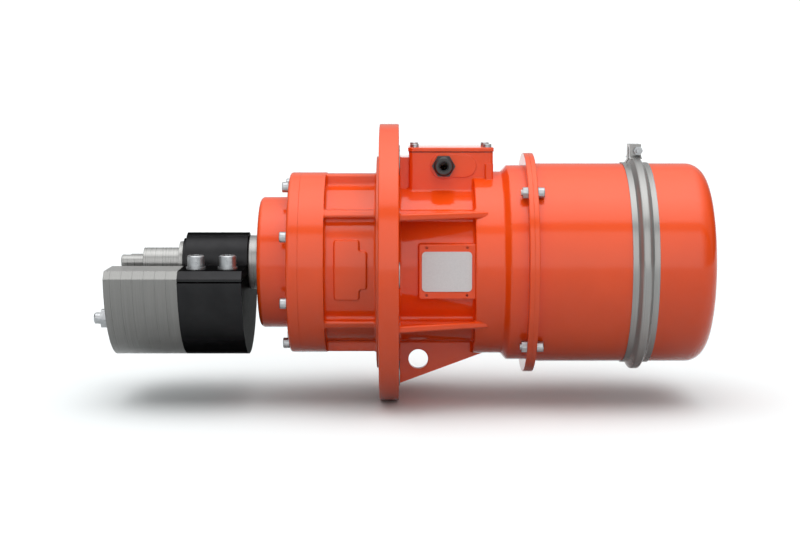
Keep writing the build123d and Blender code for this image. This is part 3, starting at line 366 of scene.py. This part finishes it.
def true_normals(mesh):
    """Corner normals of a triangle mesh whose faces are mostly turned about the shaft.

    A face counts as turned when its normal has no part along the circle through the middle of its own
    arc. Corners that share a point and a shaded normal form one fan. A fan with enough turned area takes
    the mean of the turned faces' axial and radial parts, by area, laid out at the point's own angle;
    any other fan takes the mean of its faces' normals by area.
    """
    corners, points, corner_points = face_corners(mesh)
    shaded = mesh_values(mesh.corner_normals, "vector", width=3)
    face_normals = mesh_values(mesh.polygons, "normal", width=3)
    areas = mesh_values(mesh.polygons, "area")

    centres = corners.mean(axis=1)
    centre_angle = np.arctan2(centres[:, 2], centres[:, 1])
    swing = np.arctan2(corners[:, :, 2], corners[:, :, 1]) - centre_angle[:, None]
    swing = (swing + pi) % (2 * pi) - pi
    middle = centre_angle + (swing.min(axis=1) + swing.max(axis=1)) / 2
    radial = face_normals[:, 1] * np.cos(middle) + face_normals[:, 2] * np.sin(middle)
    along_circle = face_normals[:, 2] * np.cos(middle) - face_normals[:, 1] * np.sin(middle)
    arc = swing.max(axis=1) - swing.min(axis=1)
    nearest = np.hypot(corners[:, :, 1], corners[:, :, 2]).min(axis=1)
    turned = (np.abs(along_circle) < TURNED_LEAN) & (arc < TURNED_ARC) & (nearest > TURNED_RADIUS)

    keys = np.column_stack([corner_points, np.round(shaded * NORMAL_STEPS).astype(np.int32)])
    fans = np.unique(keys, axis=0, return_inverse=True)[1].ravel()
    face_of_corner = np.repeat(np.arange(len(areas)), 3)
    fan_count = fans.max() + 1

    def fan_sum(face_values):
        """Sum of a value over the faces of each fan."""
        return np.bincount(fans, face_values[face_of_corner], fan_count)

    turned_area = fan_sum(areas * turned)
    axial_sum = fan_sum(areas * turned * face_normals[:, 0])
    radial_sum = fan_sum(areas * turned * radial)
    plain_sum = np.column_stack([fan_sum(areas * face_normals[:, axis]) for axis in range(3)])
    use_turned = turned_area > TURNED_SHARE * fan_sum(areas)
    fan_point = np.zeros(fan_count, np.int64)
    fan_point[fans] = corner_points
    angle = np.arctan2(points[fan_point, 2], points[fan_point, 1])
    turned_sum = np.column_stack([axial_sum, radial_sum * np.cos(angle), radial_sum * np.sin(angle)])
    fan_normals = np.where(use_turned[:, None], turned_sum, plain_sum)
    fan_normals /= np.maximum(np.linalg.norm(fan_normals, axis=1), LEAST_LENGTH)[:, None]
    return fan_normals[fans]


def cut_top_corners(weight, radius, top):
    """Cut both long top corners of a half-round weight at 45 degrees.

    A corner lies at Y = side * radius, Z = top. The cutting plane passes through the points that lie one
    cut inwards and one cut down from it, so its normal is (0, side, 1).
    """
    for side in (-1, 1):
        cut = bmesh.ops.bisect_plane(
            weight,
            geom=[*weight.verts, *weight.edges, *weight.faces],
            dist=JOIN_DISTANCE,
            plane_co=(0, side * (radius - CORNER_CUT), top),
            plane_no=(0, side, 1),
            clear_outer=True,
        )
        rim = [item for item in cut["geom_cut"] if isinstance(item, bmesh.types.BMEdge)]
        bmesh.ops.holes_fill(weight, edges=rim, sides=0)
    bmesh.ops.triangulate(weight, faces=weight.faces[:])
    bmesh.ops.recalc_face_normals(weight, faces=weight.faces[:])


def merged_copy(node, name):
    """Copy of a CAD node whose loose triangles are joined and shaded smooth between its sharp edges."""
    mesh = frame["nodes"][node].data.copy()
    piece = bpy.data.objects.new(name, mesh)
    bpy.context.scene.collection.objects.link(piece)
    joined = bmesh.new()
    joined.from_mesh(mesh)
    bmesh.ops.remove_doubles(joined, verts=joined.verts, dist=JOIN_DISTANCE)
    if node in CUT_NODES:
        # The plates' box ends at the flat top; a clamp weight's box ends at its higher hub
        cut_top_corners(joined, radius=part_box(node)[1][1], top=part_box("left_weight_plates")[1][2])
    joined.to_mesh(mesh)
    joined.free()

    # Normals that came with the frame belong to the loose triangles
    for layer in list(mesh.uv_layers):
        mesh.uv_layers.remove(layer)
    if "custom_normal" in mesh.attributes:
        mesh.attributes.remove(mesh.attributes["custom_normal"])
    mesh.shade_smooth()
    mesh.set_sharp_from_angle(angle=radians(SHARP_ANGLE))
    mesh.normals_split_custom_set(true_normals(mesh).tolist())
    return piece


def dress(node):
    """Smooth copy of a CAD node in the finish that its record slot names, riding on the node's body."""
    slot_name = node_slots[node]
    piece = merged_copy(node, f"look_{node}")
    piece.data.materials.clear()
    piece.data.materials.append(materials[slot_name])
    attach(piece, node_bodies[node])
    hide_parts(node)
    return piece


def bare_machined_faces(casing):
    """Leave the paint off the register, the mounting face and the bolts' spot faces.

    A face is bare where all its corners lie in one of the spans along the shaft, one of them or more on
    the span's plane, and the nearest of them outside the neck.
    """
    mesh = casing.data
    mesh.materials.append(materials["machined_steel"])
    corners, _, _ = face_corners(mesh)
    left = corners[:, :, 0].min(axis=1)
    right = corners[:, :, 0].max(axis=1)
    nearest = np.hypot(corners[:, :, 1], corners[:, :, 2]).min(axis=1)
    bare = np.zeros(len(left), bool)
    for start, end, plane in BARE_SPANS:
        inside = (left > start - BARE_TOLERANCE) & (right < end + BARE_TOLERANCE)
        bare |= inside & (left < plane + BARE_TOLERANCE) & (right > plane - BARE_TOLERANCE)
    bare &= nearest > BARE_FROM_RADIUS
    mesh.polygons.foreach_set("material_index", bare.astype(np.int32))


def make_floor(height):
    """Square floor: pale where it is seen or mirrored, darker where it lights the object from below."""
    half = FLOOR_SIZE / 2
    corners = [(x, y, height) for x, y in ((-half, -half), (half, -half), (half, half), (-half, half))]
    mesh = bpy.data.meshes.new("floor")
    mesh.from_pydata(corners, [], [(0, 1, 2, 3)])
    floor = bpy.data.objects.new("floor", mesh)
    bpy.context.scene.collection.objects.link(floor)

    material, tree, shader = new_material("floor", FLOOR_PALE, roughness=0.9)
    shader.inputs["Specular IOR Level"].default_value = 0.0
    light_path = tree.nodes.new("ShaderNodeLightPath")
    camera_ray, glossy_ray, transmission_ray = (
        light_path.outputs[kind] for kind in ("Is Camera Ray", "Is Glossy Ray", "Is Transmission Ray")
    )
    seen_or_mirrored = math_result(tree, "MAXIMUM", camera_ray, glossy_ray)
    seen_any = math_result(tree, "MAXIMUM", seen_or_mirrored, transmission_ray)
    tone = tree.nodes.new("ShaderNodeMix")
    tone.data_type = "RGBA"
    tone.inputs["A"].default_value = (*FLOOR_BOUNCE, 1)
    tone.inputs["B"].default_value = (*FLOOR_PALE, 1)
    tree.links.new(seen_any, tone.inputs["Factor"])
    node_link(tree, tone, "Result", shader, "Base Color")
    mesh.materials.append(material)
    return floor


def make_dome():
    """Studio dome: bands of light that run along the shaft, dimmer at both sides.

    A direction's band is atan2(Z, -Y) / pi, which is 0 at the viewer's horizon, 0.5 overhead and 1 at
    the back. Its strength falls off smoothly with the size of X.
    """
    world = bpy.data.worlds.new("studio")
    bpy.context.scene.world = world
    world.use_nodes = True
    tree = world.node_tree
    direction = tree.nodes.new("ShaderNodeTexCoord")
    split = tree.nodes.new("ShaderNodeSeparateXYZ")
    node_link(tree, direction, "Generated", split, "Vector")
    along, across, upward = (split.outputs[axis] for axis in "XYZ")

    towards_viewer = math_result(tree, "MULTIPLY", across, -1.0)
    turn = math_result(tree, "ARCTAN2", upward, towards_viewer)
    band = math_result(tree, "DIVIDE", turn, pi)
    bands = tree.nodes.new("ShaderNodeValToRGB")
    # A new ramp already has two elements
    elements = bands.color_ramp.elements
    for position, _ in DOME_STEPS[2:]:
        elements.new(position)
    for element, (position, level) in zip(elements, DOME_STEPS):
        element.position = position
        element.color = (level / DOME_PEAK,) * 3 + (1,)
    tree.links.new(band, bands.inputs["Fac"])

    falloff = tree.nodes.new("ShaderNodeMapRange")
    falloff.interpolation_type = "SMOOTHSTEP"
    falloff.inputs["From Min"].default_value = DOME_SIDE_START
    falloff.inputs["From Max"].default_value = DOME_SIDE_END
    falloff.inputs["To Min"].default_value = DOME_PEAK
    falloff.inputs["To Max"].default_value = DOME_PEAK * DOME_SIDE_SHARE
    tree.links.new(math_result(tree, "ABSOLUTE", along), falloff.inputs["Value"])

    background = tree.nodes["Background"]
    node_link(tree, bands, "Color", background, "Color")
    node_link(tree, falloff, "Result", background, "Strength")


def make_camera():
    """Camera that stands where the photograph's camera stood."""
    data = bpy.data.cameras.new("camera")
    data.lens = FOCAL_PIXELS / PICTURE_WIDTH * data.sensor_width
    data.clip_end = VIEW_DEPTH
    camera = bpy.data.objects.new("camera", data)
    bpy.context.scene.collection.objects.link(camera)
    camera.location = CAMERA_PLACE
    camera.rotation_euler = (radians(90 - CAMERA_TILT), 0, 0)
    bpy.context.scene.camera = camera


materials = {
    make.__name__: make()
    for make in (
        orange_paint, machined_steel, zinc_steel, black_finish, ground_steel, stainless, rubber,
        black_plastic, copper, moulded_board, laminations, cast_aluminium, brass, plate_metal,
    )
}
record = frame["record"]
node_slots = {entry["node"]: entry["material_slot"] for entry in record["subparts"]}
node_bodies = {node: body for body, nodes in record["behaviour"]["bodies"].items() for node in nodes}

looks = {node: dress(node) for node in sorted(node_slots)}
bare_machined_faces(looks["motor_casing"])

floor = make_floor(height=cad_box[0][2])
make_dome()
make_camera()
bpy.context.scene.view_settings.view_transform = "Standard"
